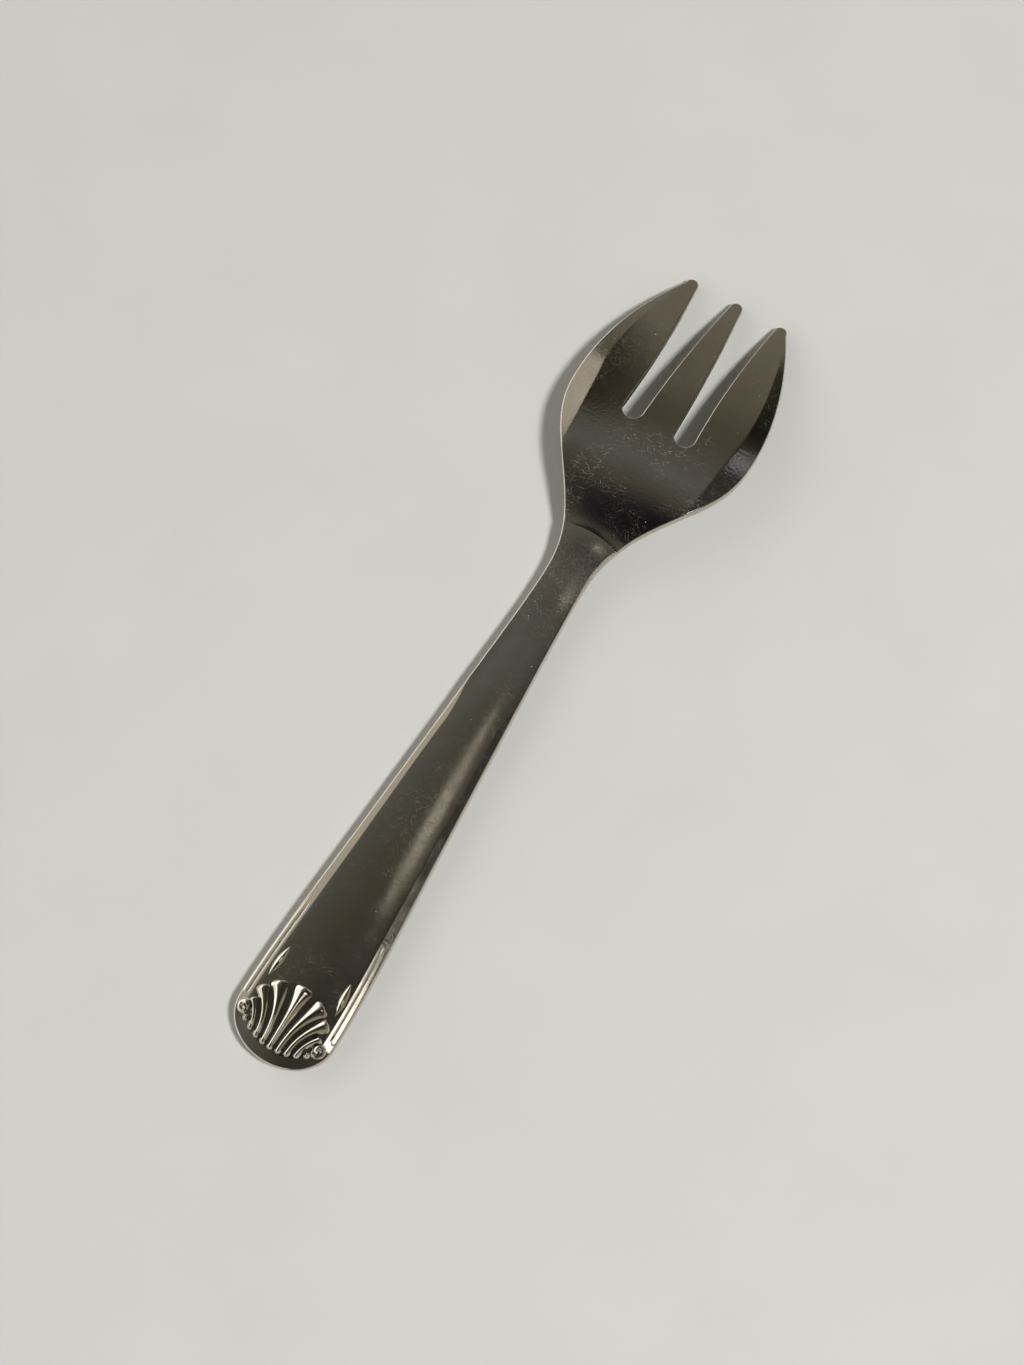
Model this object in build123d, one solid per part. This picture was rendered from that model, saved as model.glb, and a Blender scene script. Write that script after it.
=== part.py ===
from build123d import *
import math
import os

# An oyster fork lying face down: tine tips and the flat of the handle rest on z = 0, the arched back is up.
# +Y runs to the tines, +X to the right, and the origin is under the middle of the fork. Millimetres.

# Lengths along the fork, in order from the handle's rounded end to the tine tips
handle_length = 44.8       # up to where the bevelled sides run out
waist_length = 16.5        # from there to the narrowest place
heel_length = 6.7          # from the narrowest place to the heel
bowl_length = 14.7         # from the heel to the middle of the slots' round roots
tine_length = 19.3         # from those roots to the tips
end_depth = 4.75           # length of the elliptical end
end_lift_length = 12.0     # part of the underside that curls up at that end
neck_flat = 7.2            # part of the neck's underside that lies on the table
widest_lead = 2.0          # the head is widest this far past the slot roots
crown_length = 9.5         # from the heel to the top of the arch

# Widths
end_width = 11.74
handle_middle_width = 9.64
handle_joint_width = 6.84
neck_width = 4.92
head_width = 22.96
slot_width = 2.44
slot_spacing = 6.74        # between the middles of the two slots
tip_width = 1.5
outer_tip_spacing = 11.88  # between the middles of the outer tips
flank_width = 2.45         # turned-down border of the head, where the head is widest
tip_flank_width = 0.3      # the same border at the tips
bevel_width = 0.8          # sloping border of the handle
bevel_runout = 3.0         # length over which that border fades at the joint
middle_bow = 0.23          # how far the middle tine's edges bow out of straight
inner_bow = 0.39           # the same for the outer tines' inner edges

# Heights above the table, and thicknesses
handle_crown = 2.35
neck_crown = 2.0
heel_height = 3.0          # head's surface at the foot of the heel
heel_drop = 0.4            # step from the stem down to that surface
arch_height = 5.05
handle_edge = 1.7          # top of the handle's upright edge
bevel_rise = 0.3
handle_dome = 0.3          # how far the handle's back falls from its middle to its sides
neck_dome = 0.15
head_dome = 0.3            # the same from the head's middle to its creases
heel_dome = 0.9
bowl_thickness = 1.3
tip_thickness = 0.95
end_lift = 0.35            # how far the rounded end curls clear of the table

# Curves
heel_radius = 11.4         # arc of the heel, seen from above
flank_angle = 14.0         # degrees
crease_slope = 0.095       # how fast the flank's crease draws in towards the heel
neck_power = 1.25          # how the neck narrows
tine_power = 1.88          # how the head's sides draw in towards the tips
rise_power = 2.2           # how the arch rises from the heel
fall_power = 1.7           # how it falls to the tips

# Shell on the handle's end
rib_count = 9              # odd, with one rib on the middle line
rib_foot = 0.28            # half width of a rib at its lower end
rib_flare = 0.72           # what the middle rib's half width gains at its top
rib_lean = 2.3             # how far the most slanted ribs lean outwards
rib_bend = 2.2             # power of that lean along the rib
rib_height = 0.35
shell_border = 1.35        # plain border below the shell
shell_length = 8.9         # tip of the middle rib, from the rounded end
shell_margin = 1.65        # from the handle's side to the tops of the outermost long ribs
shell_dip = 1.2            # how much higher the outermost ribs start than the middle one
short_rib_length = 0.75    # the outermost ribs
scroll_radius = 0.65
scroll_height = 0.4
scroll_lead = 0.52         # how far a scroll's middle lies outside the top of the rib above it
scroll_gap = 0.1           # between a scroll and the rib above it
husk_length = 3.6
husk_width = 0.5
husk_gap = 0.5             # between a husk and the rib below it
thread_width = 0.4
thread_height = 0.2
thread_inset = 0.12        # between a thread and the handle's side
thread_length = 11.5
thread_gap = 0.35          # between a scroll and the thread above it

# Places worked out from those sizes
joint_at = handle_length
waist_at = joint_at + waist_length
heel_at = waist_at + heel_length
root_at = heel_at + bowl_length
tip_at = root_at + tine_length
widest_at = root_at + widest_lead
crown_at = heel_at + crown_length
shoulder_at = tip_at - tip_width / 2
middle_at = (end_depth + joint_at) / 2
rest_at = joint_at + neck_flat
heel_slope = rise_power * (arch_height - heel_height) / crown_length
rib_last = (rib_count - 1) // 2
shell_spread = end_width / 2 - shell_margin
rib_pitch = 2 * (shell_spread - rib_lean) / rib_last
spare = 1.0                # what a cutting or trimmed shape reaches past the fork
sky = arch_height + 3 * spare
aside = head_width


def along(distance):
    """Y of a place given by its distance from the rounded end."""
    return distance - tip_at / 2


def point(across, distance):
    return across, along(distance)


def stations(start, end, count):
    return [start + (end - start) * step / (count - 1) for step in range(count)]


def smooth_step(share):
    share = min(1.0, max(0.0, share))
    return share ** 2 * (3 - 2 * share)


def half_width(distance):
    """Half of the plan width, from the handle's joint to the tine shoulders."""
    if distance < waist_at:
        share = (waist_at - distance) / waist_length
        return neck_width / 2 + (handle_joint_width - neck_width) / 2 * share ** neck_power
    if distance < widest_at:
        share = (distance - waist_at) / (widest_at - waist_at)
        ease = share ** 3 * (6 * share ** 2 - 15 * share + 10)
        return neck_width / 2 + (head_width - neck_width) / 2 * ease
    share = (distance - widest_at) / (shoulder_at - widest_at)
    shoulder = (outer_tip_spacing + tip_width) / 2
    return head_width / 2 - (head_width / 2 - shoulder) * share ** tine_power


def mirrored(shape):
    return mirror(shape, about=Plane.YZ)


def both_sides(solid):
    return [solid, mirrored(solid)]


def upright(face, low, high):
    return extrude(Pos(0, 0, low) * face, high - low)


def cross_plane(distance):
    """Upright plane across the fork, with its own x along X and its own y along Z."""
    return Plane(origin=(0, along(distance), 0), x_dir=(1, 0, 0), z_dir=(0, -1, 0))


def slab(start, end):
    """Everything between two places along the fork."""
    middle = Pos(0, (along(start) + along(end)) / 2, 0)
    return middle * Box(4 * aside, end - start, 4 * sky)


# Plan outlines

def handle_outline(inset):
    """The handle's outline, drawn in by an inset that fades at the joint."""
    slope = (handle_middle_width - handle_joint_width) / 2 / (joint_at - middle_at)
    joint_half = handle_joint_width / 2
    fade = point(joint_half + slope * bevel_runout - inset, joint_at - bevel_runout)
    rounded_end = EllipticalCenterArc(
        point(0, end_depth), end_width / 2 - inset, end_depth - inset, start_angle=180, arc_size=180)
    middle = point(handle_middle_width / 2 - inset, middle_at)
    side = Spline(rounded_end @ 1, middle, fade, tangents=[(0, 1), (-slope, 1)])
    runout = Line(fade, point(joint_half, joint_at))
    across = Line(point(-joint_half, joint_at), point(joint_half, joint_at))
    return make_face([rounded_end, side, runout, across, mirrored(runout), mirrored(side)])


def head_outline():
    """Neck and head without slots, from the joint to a straight line at the shoulders."""
    places = stations(joint_at, waist_at, 4) + stations(waist_at, widest_at, 9)[1:]
    places += stations(widest_at, shoulder_at, 6)[1:]
    side = Spline([point(half_width(place), place) for place in places])
    joint = Line(side @ 0, mirrored(side) @ 0)
    shoulders = Line(side @ 1, mirrored(side) @ 1)
    return make_face([side, shoulders, mirrored(side), joint])


def bowed(start, end, bow):
    """An arc between two points, with its middle moved across by the bow."""
    middle = (start[0] + end[0]) / 2 + bow, (start[1] + end[1]) / 2
    return ThreePointArc(start, middle, end)


def middle_tine_outline():
    root = point((slot_spacing - slot_width) / 2, root_at)
    edge = bowed(root, point(tip_width / 2, shoulder_at), middle_bow)
    tip = ThreePointArc(edge @ 1, point(0, tip_at), mirrored(edge) @ 1)
    return make_face([edge, tip, mirrored(edge), Line(edge @ 0, mirrored(edge) @ 0)])


def right_tine_outline():
    root = point((slot_spacing + slot_width) / 2, root_at)
    inner = bowed(root, point((outer_tip_spacing - tip_width) / 2, shoulder_at), -inner_bow)
    places = [root_at] + stations(widest_at, shoulder_at, 6)
    outer = Spline([point(half_width(place), place) for place in places])
    tip = ThreePointArc(inner @ 1, point(outer_tip_spacing / 2, tip_at), outer @ 1)
    return make_face([inner, tip, outer, Line(inner @ 0, outer @ 0)])


# Formed surfaces

def head_crown(distance):
    """Height of the head's back along its middle line."""
    if distance < crown_at:
        share = (crown_at - distance) / crown_length
        return arch_height - (arch_height - heel_height) * share ** rise_power
    share = (distance - crown_at) / (tip_at - crown_at)
    return arch_height - (arch_height - tip_thickness) * share ** fall_power


def crease_place(distance):
    """How far from the middle line the domed back turns down into the flank."""
    past = (distance - widest_at) / (tip_at - widest_at)
    if past < 0:
        return head_width / 2 - flank_width + crease_slope * (distance - widest_at)
    return half_width(distance) - flank_width + (flank_width - tip_flank_width) * past


def head_section(distance):
    """Slice across the formed head: a domed middle with a turned-down flank on each side."""
    past = min(1.0, max(0.0, (distance - crown_at) / (tip_at - crown_at)))
    before = min(1.0, max(0.0, (crown_at - distance) / crown_length))
    dome = head_dome * (1 - past ** 2) + (heel_dome - head_dome) * before ** 3
    hollow = head_dome * (1 - past ** 2) * (1 - before ** 2)
    slope = math.tan(math.radians(flank_angle)) * (1 - past ** 3)
    thinning = max(0.0, (distance - root_at) / tine_length)
    thickness = bowl_thickness + (tip_thickness - bowl_thickness) * thinning
    crease = crease_place(distance)
    outside = head_width / 2 + spare
    top = head_crown(distance)
    under = top - thickness
    hem = top - dome - slope * (outside - crease)
    upper = Bezier((-crease, top - dome), (0, top + dome), (crease, top - dome))
    lower = Bezier((-crease, under - hollow), (0, under + hollow), (crease, under - hollow))
    flank = Polyline((crease, top - dome), (outside, hem), (outside, hem - thickness), (crease, under - hollow))
    return cross_plane(distance) * make_face([upper, flank, lower, mirrored(flank)])


def formed_head():
    places = [heel_at - 2 * spare] + stations(heel_at, crown_at, 4)
    places += stations(crown_at, tip_at, 8)[1:] + [tip_at + spare]
    return loft([head_section(place) for place in places])


def stem_section(distance):
    """Slice across everything below the stem's domed back."""
    blend = smooth_step((distance - joint_at) / waist_length)
    climb = max(0.0, (distance - rest_at) / (heel_at - rest_at))
    crown = handle_crown + (neck_crown - handle_crown) * blend
    crown += (heel_height + heel_drop - neck_crown) * climb ** 3
    dome = handle_dome + (neck_dome - handle_dome) * blend
    half = half_width(distance)
    if distance < joint_at:
        half = end_width / 2 + (handle_joint_width - end_width) / 2 * max(0.0, distance) / joint_at
    outside = half + spare / 2
    fall = dome * (outside / half) ** 2
    back = Bezier((-outside, crown - fall), (0, crown + fall), (outside, crown - fall))
    sides = Polyline(back @ 0, (-outside, -spare), (outside, -spare), back @ 1)
    return cross_plane(distance) * make_face([back, sides])


def domed_stem(start, end, count):
    return loft([stem_section(place) for place in stations(start, end, count)])


def above_underside():
    """Everything above the stem's underside: curled at the rounded end, flat, then rising along the neck."""
    curl = ThreePointArc(
        (along(0), end_lift), (along(end_lift_length / 2), end_lift / 4), (along(end_lift_length), 0))
    flat = Line(curl @ 1, (along(rest_at), 0))
    heel_under = heel_height - bowl_thickness
    bend = along(heel_at - heel_under / heel_slope)
    climb = Bezier(flat @ 1, (bend, 0), (along(heel_at), heel_under))
    roof = Polyline(climb @ 1, (along(heel_at), sky), (along(0), sky), curl @ 0)
    return extrude(Plane.YZ * make_face([curl, flat, climb, roof]), aside, both=True)


def bevelled_plate():
    """The handle's outline with a sloping border, up to above its back."""
    steps = math.ceil((handle_crown - handle_edge) / bevel_rise) + 1
    plate = upright(handle_outline(0), -spare, handle_edge)
    low = Pos(0, 0, handle_edge) * handle_outline(0)
    high = Pos(0, 0, handle_edge + steps * bevel_rise) * handle_outline(steps * bevel_width)
    return plate + loft([low, high], ruled=True)


def heel_post():
    """Upright cylinder whose wall is the heel."""
    return Pos(0, along(heel_at - heel_radius), 0) * Cylinder(heel_radius, 4 * sky)


# Stem and head

def make_neck(underside):
    past_heel = slab(waist_at, tip_at) - heel_post()
    blank = upright(head_outline(), -spare, sky) & domed_stem(joint_at, heel_at + spare, 7) & underside
    return blank - past_heel


def make_bowl(head):
    blank = upright(head_outline(), -spare, sky) & head & slab(waist_at, root_at)
    blank -= heel_post()
    for side in (-1, 1):
        blank -= Pos(side * slot_spacing / 2, along(root_at), 0) * Cylinder(slot_width / 2, 4 * sky)
    return blank


def make_tine(outline, head):
    return upright(outline, -spare, sky) & head


# Shell and borders, each standing on the handle's back

def rib_start(order):
    return order * rib_pitch, shell_border + shell_dip * (order / rib_last) ** 2


def rib_reach(order):
    """How far a rib's top lies outwards and upwards of its foot."""
    share = order / rib_last
    longest = shell_length - shell_border
    lean = rib_lean * math.sin(math.pi * share ** 0.85)
    return lean, longest - (longest - short_rib_length) * share ** 1.5


def rib_crest(order):
    (x, y), (lean, rise) = rib_start(order), rib_reach(order)
    return x + lean, y + rise


def rib_crest_half(order):
    return rib_foot + rib_flare * math.cos(math.pi / 2 * order / rib_last) ** 2


def rib_outline(order):
    """One rib on the right: a narrow foot that bends outwards and flares to a round top."""
    (x, y), (lean, rise) = rib_start(order), rib_reach(order)
    left, right = [], []
    for share in (0.0, 0.35, 0.7, 0.9):
        heading = math.atan(rib_bend * lean * share ** (rib_bend - 1) / rise)
        half = rib_foot + (rib_crest_half(order) - rib_foot) * share ** 3
        across, rising = half * math.cos(heading), half * math.sin(heading)
        middle = x + lean * share ** rib_bend
        left.append(point(middle - across, y + rise * share + rising))
        right.append(point(middle + across, y + rise * share - rising))
    top = ThreePointArc(left[-1], point(*rib_crest(order)), right[-1])
    return make_face([Spline(left), top, Spline(right), Line(left[0], right[0])])


def seated(outline, height, back, handle):
    """A raised piece of an outline, as high as the given height above the handle's back."""
    return (upright(outline, handle_edge / 2, sky) & Pos(0, 0, height) * back) - handle


def make_shell_ribs(back, handle):
    ribs = [seated(rib_outline(0), rib_height, back, handle)]
    for order in range(1, rib_last + 1):
        ribs += both_sides(seated(rib_outline(order), rib_height, back, handle))
    return ribs


def scroll_place():
    neighbour = rib_last - 1
    drop = scroll_radius + rib_crest_half(neighbour) + scroll_gap
    x, y = rib_crest(neighbour)
    return x + scroll_lead, y - drop


def make_shell_scrolls(back, handle):
    disc = Pos(*point(*scroll_place())) * Circle(scroll_radius).face()
    return both_sides(seated(disc, scroll_height, back, handle))


def make_shell_husks(back, handle):
    neighbour = rib_last // 2
    x, y = rib_crest(neighbour)
    start = y + rib_crest_half(neighbour) + husk_gap
    low, high = point(x, start), point(x - husk_width, start + husk_length)
    leaf = make_face([bowed(low, high, husk_width / 2), bowed(low, high, -husk_width / 2)])
    return both_sides(seated(leaf, rib_height, back, handle))


def make_edge_threads(bevelled_back, handle):
    start = scroll_place()[1] + scroll_radius + thread_gap
    ring = upright(handle_outline(thread_inset), handle_edge / 2, sky)
    ring -= upright(handle_outline(thread_inset + thread_width), handle_edge / 2, sky)
    band = ring & slab(start, start + thread_length) & Pos(0, 0, thread_height) * bevelled_back
    return (band - handle).solids()


def make_nodes():
    """Every node of the fork by name. A list is a group of separate solids."""
    underside = above_underside()
    head = formed_head()
    back = domed_stem(-spare, joint_at, 6)
    bevelled_back = bevelled_plate() & back
    handle = bevelled_back & underside
    right_tine = make_tine(right_tine_outline(), head)
    return {
        "handle": handle,
        "neck": make_neck(underside),
        "bowl": make_bowl(head),
        "left_tine": mirrored(right_tine),
        "middle_tine": make_tine(middle_tine_outline(), head),
        "right_tine": right_tine,
        "shell_ribs": make_shell_ribs(back, handle),
        "shell_scrolls": make_shell_scrolls(back, handle),
        "shell_husks": make_shell_husks(back, handle),
        "edge_threads": make_edge_threads(bevelled_back, handle),
    }


os.makedirs("parts", exist_ok=True)
for name, shape in make_nodes().items():
    if isinstance(shape, list):
        shape = Compound(children=shape)
    export_step(shape, f"parts/{name}.step")
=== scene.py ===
import math
from functools import partial
import bpy
import numpy as np
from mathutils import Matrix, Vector
from mathutils.geometry import delaunay_2d_cdt


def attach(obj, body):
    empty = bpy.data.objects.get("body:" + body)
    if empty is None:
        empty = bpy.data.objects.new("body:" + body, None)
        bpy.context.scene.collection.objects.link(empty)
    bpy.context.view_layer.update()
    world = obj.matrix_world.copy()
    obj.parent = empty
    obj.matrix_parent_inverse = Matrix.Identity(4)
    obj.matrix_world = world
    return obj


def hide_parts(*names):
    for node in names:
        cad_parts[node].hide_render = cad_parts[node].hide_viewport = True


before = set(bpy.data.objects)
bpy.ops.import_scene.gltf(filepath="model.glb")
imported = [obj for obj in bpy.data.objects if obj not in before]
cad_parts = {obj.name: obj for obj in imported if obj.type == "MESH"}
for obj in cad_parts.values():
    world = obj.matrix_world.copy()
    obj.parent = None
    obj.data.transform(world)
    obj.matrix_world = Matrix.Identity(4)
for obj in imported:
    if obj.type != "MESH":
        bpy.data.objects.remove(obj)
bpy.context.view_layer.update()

# Oyster fork lying face down. Everything is worked out in millimetres: x across the fork, d from the rounded
# handle end towards the tines. toMetres() puts that in the frame of the CAD model.
mm = 0.001
bodyName = "root"
places = {
    "end": 4.75, "joint": 44.8, "rest": 52.0, "waist": 61.3, "heel": 68.0, "crown": 77.5, "root": 82.7,
    "widest": 84.7, "shoulder": 101.25, "tip": 102.0,
}
middle = places["tip"] / 2


def columns(*rows):
    return np.stack(rows, axis=-1)


def lengths(ways):
    return np.linalg.norm(ways, axis=-1)


def toMetres(x, d, z):
    return columns(x, d - middle, z) * mm


def linear(hexColour, alpha=1.0):
    # sRGB hex to the linear values that Blender's sockets take
    values = [int(hexColour[i:i + 2], 16) / 255 for i in (1, 3, 5)]
    return tuple(v / 12.92 if v <= 0.04045 else ((v + 0.055) / 1.055) ** 2.4 for v in values) + (alpha,)


def addNode(tree, kind, inputs=(), out=0, **settings):
    # one node with its settings; gives an output, or the node itself where out is None
    # kind: a shader node's needs no prefix; inputs: values or feeding sockets, in order or by name
    node = tree.nodes.new(kind if "Node" in kind else "ShaderNode" + kind)
    for key, value in settings.items():
        setattr(node, key, value)
    named = inputs if isinstance(inputs, dict) else dict(enumerate(inputs))
    for key, value in named.items():
        if isinstance(value, bpy.types.NodeSocket):
            tree.links.new(value, node.inputs[key])
        else:
            node.inputs[key].default_value = value
    return node if out is None else node.outputs[out]


def addObject(name, data):
    thing = bpy.data.objects.new(name, data)
    bpy.context.scene.collection.objects.link(thing)
    return thing


def newMaterial(name):
    # an empty material, and addNode for its tree
    material = bpy.data.materials.new(name)
    material.use_nodes = True
    material.node_tree.nodes.clear()
    return material, partial(addNode, material.node_tree)


# Polished stainless steel: mirror-like with a faint warm tint. Buffing left it slightly wavy, so reflections
# have uneven borders. Use left a haze of wiping marks, patches of short hairlines, specks of dust, dulled
# edges and a scuffed neck. Painted shade darkens the ground between the shell's ribs, the heel's foot and
# the slots' walls. Sizes and depths are in mm.
steel = {
    # the darkest tone, and the roughness given with it, are painted shade, laid where shade falls between the
    # ribs, at the heel's foot and on the slots' walls
    "bright": "#cac6be", "stained": "#b4afa5", "dust": "#e6e2d8", "shadeColour": "#2c251d",
    "noises": {     # size, detail and roughness; the grain is coarser than real so that it shows
        "haze": (4.0, 4.0, 0.6), "wave": (3.4, 1.0, 0.4), "grain": (0.3, 2.0, 0.5), "worn": (0.45, 2.0, 0.5),
        "patch": (6.0, 2.0, 0.5), "scuff": (0.32, 5.0, 0.65)},
    "hazeRange": (0.3, 0.75), "roughness": (0.06, 0.16), "wornRough": 0.06, "shadeRough": 0.25,
    "waveDepth": 0.009, "grainDepth": 0.0016, "wornDepth": 0.012,
    # hairlines in patches: long, wide and through the steel, coarser than real so that they show
    "hairline": (1.2, 0.06, 20.0), "hairlineRange": (0.67, 0.78), "hairlineTurns": (8, 57, 121, 164),
    "hairlineDepth": 0.002, "hairlineRough": 0.25, "hairlineScatter": 0.5, "patchRange": (0.42, 0.6),
    "bend": 0.4, "bendSize": 2.0,
    # most marks are round the heel, and the grain is stronger there
    "handlingAt": 19.0, "handlingReach": (7.0, 20.0), "handlingLeast": 0.45, "handlingGrain": 7.0,
    # grey scuffs below the heel
    "scuffAt": 12.5, "scuffReach": (1.0, 5.2), "scuffLeast": 0.0, "scuffRange": (0.3, 0.75),
    "scuffScatter": 0.1, "scuffRough": 0.14, "scuffDull": 0.08,
    # specks in some of the cells, solid within a share of their size
    "dustSpacing": 1.2, "dustSize": 0.06, "dustSolid": 0.4, "dustLeast": 0.6, "dustDepth": 0.01,
    "dustRough": 0.4,
}


def makeSteel():
    material, add = newMaterial("polishedStainlessSteel")
    s = steel
    coords = add("TexCoord", out="Object")
    inMm = add("Mapping", {"Vector": coords, "Scale": (1 / mm,) * 3})
    sway = add("TexNoise", {"Vector": inMm, "Scale": 1 / s["bendSize"]}, "Color")
    bent = add("VectorMath", (sway, (s["bend"],) * 3, inMm), operation="MULTIPLY_ADD")
    noise = {}
    for key, (size, detail, roughness) in s["noises"].items():
        noise[key] = add("TexNoise", {
            "Vector": bent if key == "scuff" else inMm, "Scale": 1 / size, "Detail": detail,
            "Roughness": roughness})
    for key in ("patch", "scuff"):
        noise[key] = add("MapRange", (noise[key], *s[key + "Range"]))
    edge = add("Attribute", out="Fac", attribute_name="edgeWear")
    # mask of painted shade, read from the points
    shadeMask = add("Attribute", out="Fac", attribute_name="shadeMask")

    # where along the fork the marks and the scuffs are, and what is kept to one place
    lengthwise = add("SeparateXYZ", (inMm,), "Y")
    marked = {}
    for key in ("handling", "scuff"):
        away = add("Math", (lengthwise, s[key + "At"]), operation="SUBTRACT")
        away = add("Math", (away,), operation="ABSOLUTE")
        marked[key] = add("MapRange", (away, *s[key + "Reach"], 1.0, s[key + "Least"]),
                          interpolation_type="SMOOTHSTEP")
    coarse = add("MapRange", (marked["handling"], s["handlingLeast"], 1.0, 1.0, s["handlingGrain"]))
    for key, mask in (("grain", coarse), ("patch", marked["handling"]), ("scuff", marked["scuff"]),
                      ("worn", edge)):
        noise[key] = add("Math", (noise[key], mask), operation="MULTIPLY")

    # hairlines: stretched noise in several directions, kept to patches
    stretch = tuple(1 / size for size in s["hairline"])
    hairline = 0.0
    for turn in s["hairlineTurns"]:
        lane = add("Mapping", {
            "Vector": bent, "Rotation": (0, 0, math.radians(turn)), "Location": (turn, 3 * turn, 0)})
        lane = add("VectorMath", (lane, stretch), operation="MULTIPLY")
        lines = add("TexNoise", {"Vector": lane, "Scale": 1.0, "Detail": 1.0})
        lines = add("MapRange", (lines, *s["hairlineRange"]))
        hairline = add("Math", (hairline, lines), operation="MAXIMUM")
    hairline = add("Math", (hairline, noise["patch"]), operation="MULTIPLY")

    # dust: a speck at the middle of some cells
    cells = add("TexVoronoi", {"Vector": inMm, "Scale": 1 / s["dustSpacing"]}, None).outputs
    size = s["dustSize"] / s["dustSpacing"]
    speck = add("MapRange", (cells["Distance"], size, s["dustSolid"] * size))
    chosen = add("SeparateColor", (cells["Color"],), "Red")
    chosen = add("Math", (chosen, s["dustLeast"]), operation="GREATER_THAN")
    speck = add("Math", (speck, chosen), operation="MULTIPLY")

    colour = linear(s["bright"])
    # haze stains and dust are the steel's own; the painted shade is mixed in as the darkest tone
    for mask, tone in ((noise["haze"], "stained"), (shadeMask, "shadeColour"), (speck, "dust")):
        colour = add("Mix", {0: mask, 6: colour, 7: linear(s[tone])}, 2, data_type="RGBA")
    rough = add("MapRange", (noise["haze"], *s["hazeRange"], *s["roughness"]))
    # painted shade also adds roughness here
    for mask, gain in ((hairline, "hairlineRough"), (edge, "wornRough"), (speck, "dustRough"),
                       (shadeMask, "shadeRough"), (noise["scuff"], "scuffRough"),
                       (marked["scuff"], "scuffDull")):
        rough = add("Math", (mask, s[gain], rough), operation="MULTIPLY_ADD")
    height = 0.0
    for relief, depth in ((noise["wave"], s["waveDepth"]), (noise["grain"], s["grainDepth"]),
                          (hairline, -s["hairlineDepth"]), (speck, s["dustDepth"]),
                          (noise["worn"], s["wornDepth"])):
        height = add("Math", (relief, depth, height), operation="MULTIPLY_ADD")
    bump = add("Bump", {"Strength": 1.0, "Distance": mm, "Height": height})
    metal = add("Math", (1.0, speck), operation="SUBTRACT")
    for mask, scatter in ((hairline, s["hairlineScatter"]), (noise["scuff"], s["scuffScatter"])):
        metal = add("Math", (mask, -scatter, metal), operation="MULTIPLY_ADD", use_clamp=True)
    shader = add("BsdfPrincipled", {
        "Base Color": colour, "Metallic": metal, "Roughness": rough, "Normal": bump})
    add("OutputMaterial", (shader,), None)
    return material


steelMaterial = makeSteel()
print("steel material made")


# Plan of the fork

handlePlan = {
    "endHalf": 5.87,
    # d, half and slope
    "side": ((4.75, 5.87, 0.0), (24.775, 4.82, -0.0739), (41.8, 3.63, -0.07), (44.8, 3.42, -0.07)),
}
headPlan = {
    "jointHalf": 3.42, "neckHalf": 2.46, "headHalf": 11.48, "shoulderHalf": 6.69,
    "neckPower": 1.25, "tinePower": 1.88,
    "slotMiddle": 3.37, "slotRadius": 1.22, "tipRadius": 0.75, "outerTip": 5.94,
    "middleBow": 0.23, "innerBow": 0.39, "heelRadius": 11.4,
}


def smoothStep(t):
    t = np.clip(t, 0, 1)
    return t * t * (3 - 2 * t)


def halfWidth(d):
    # neck, flare and outer tine edges
    p, q = headPlan, places
    neck = np.clip((q["waist"] - d) / (q["waist"] - q["joint"]), 0, None) ** p["neckPower"]
    neck = p["neckHalf"] + (p["jointHalf"] - p["neckHalf"]) * neck
    t = np.clip((d - q["waist"]) / (q["widest"] - q["waist"]), 0, 1)
    flare = p["neckHalf"] + (p["headHalf"] - p["neckHalf"]) * t ** 3 * (6 * t * t - 15 * t + 10)
    tine = np.clip((d - q["widest"]) / (q["shoulder"] - q["widest"]), 0, None) ** p["tinePower"]
    tine = p["headHalf"] - (p["headHalf"] - p["shoulderHalf"]) * tine
    return np.where(d < q["waist"], neck, np.where(d < q["widest"], flare, tine))


def handleHalf(d):
    # side of the handle past its rounded end: a smooth curve through the given places and slopes
    out = np.zeros_like(d)
    for (d0, h0, s0), (d1, h1, s1) in zip(handlePlan["side"], handlePlan["side"][1:]):
        span = d1 - d0
        t = np.clip((d - d0) / span, 0, 1)
        curve = (h0 * (1 + 2 * t) * (1 - t) ** 2 + h1 * t * t * (3 - 2 * t)
                 + span * (s0 * t * (1 - t) ** 2 - s1 * t * t * (1 - t)))
        out = np.where((d >= d0) & (d <= d1), curve, out)
    return out


def spaced(a, b, step):
    # points from a to b, both included, about one step apart
    count = max(2, int(round(np.linalg.norm(b - a) / step)) + 1)
    return a + (b - a) * np.linspace(0, 1, count)[:, None]


def arcThrough(a, m, b, count):
    # circular arc from a over m to b
    a, m, b = (np.asarray(v, float) for v in (a, m, b))
    rows = 2 * np.array([m - a, b - a])
    centre = np.linalg.solve(rows, [m @ m - a @ a, b @ b - a @ a])
    angles = [math.atan2(*(v - centre)[::-1]) for v in (a, m, b)]
    turn = (angles[2] - angles[0]) % (2 * math.pi)
    if (angles[1] - angles[0]) % (2 * math.pi) > turn:
        turn -= 2 * math.pi
    sweep = angles[0] + turn * np.linspace(0, 1, count)
    radius = np.linalg.norm(a - centre)
    return centre + radius * columns(np.cos(sweep), np.sin(sweep))


def sideRun(start, end, count):
    # right side of the neck, the flare or the outer tine
    d = np.linspace(start, end, count)
    return columns(halfWidth(d), d)


def mirrorRun(points):
    return (points * (-1, 1))[::-1]


# Heights of the fork's back and underside

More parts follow.
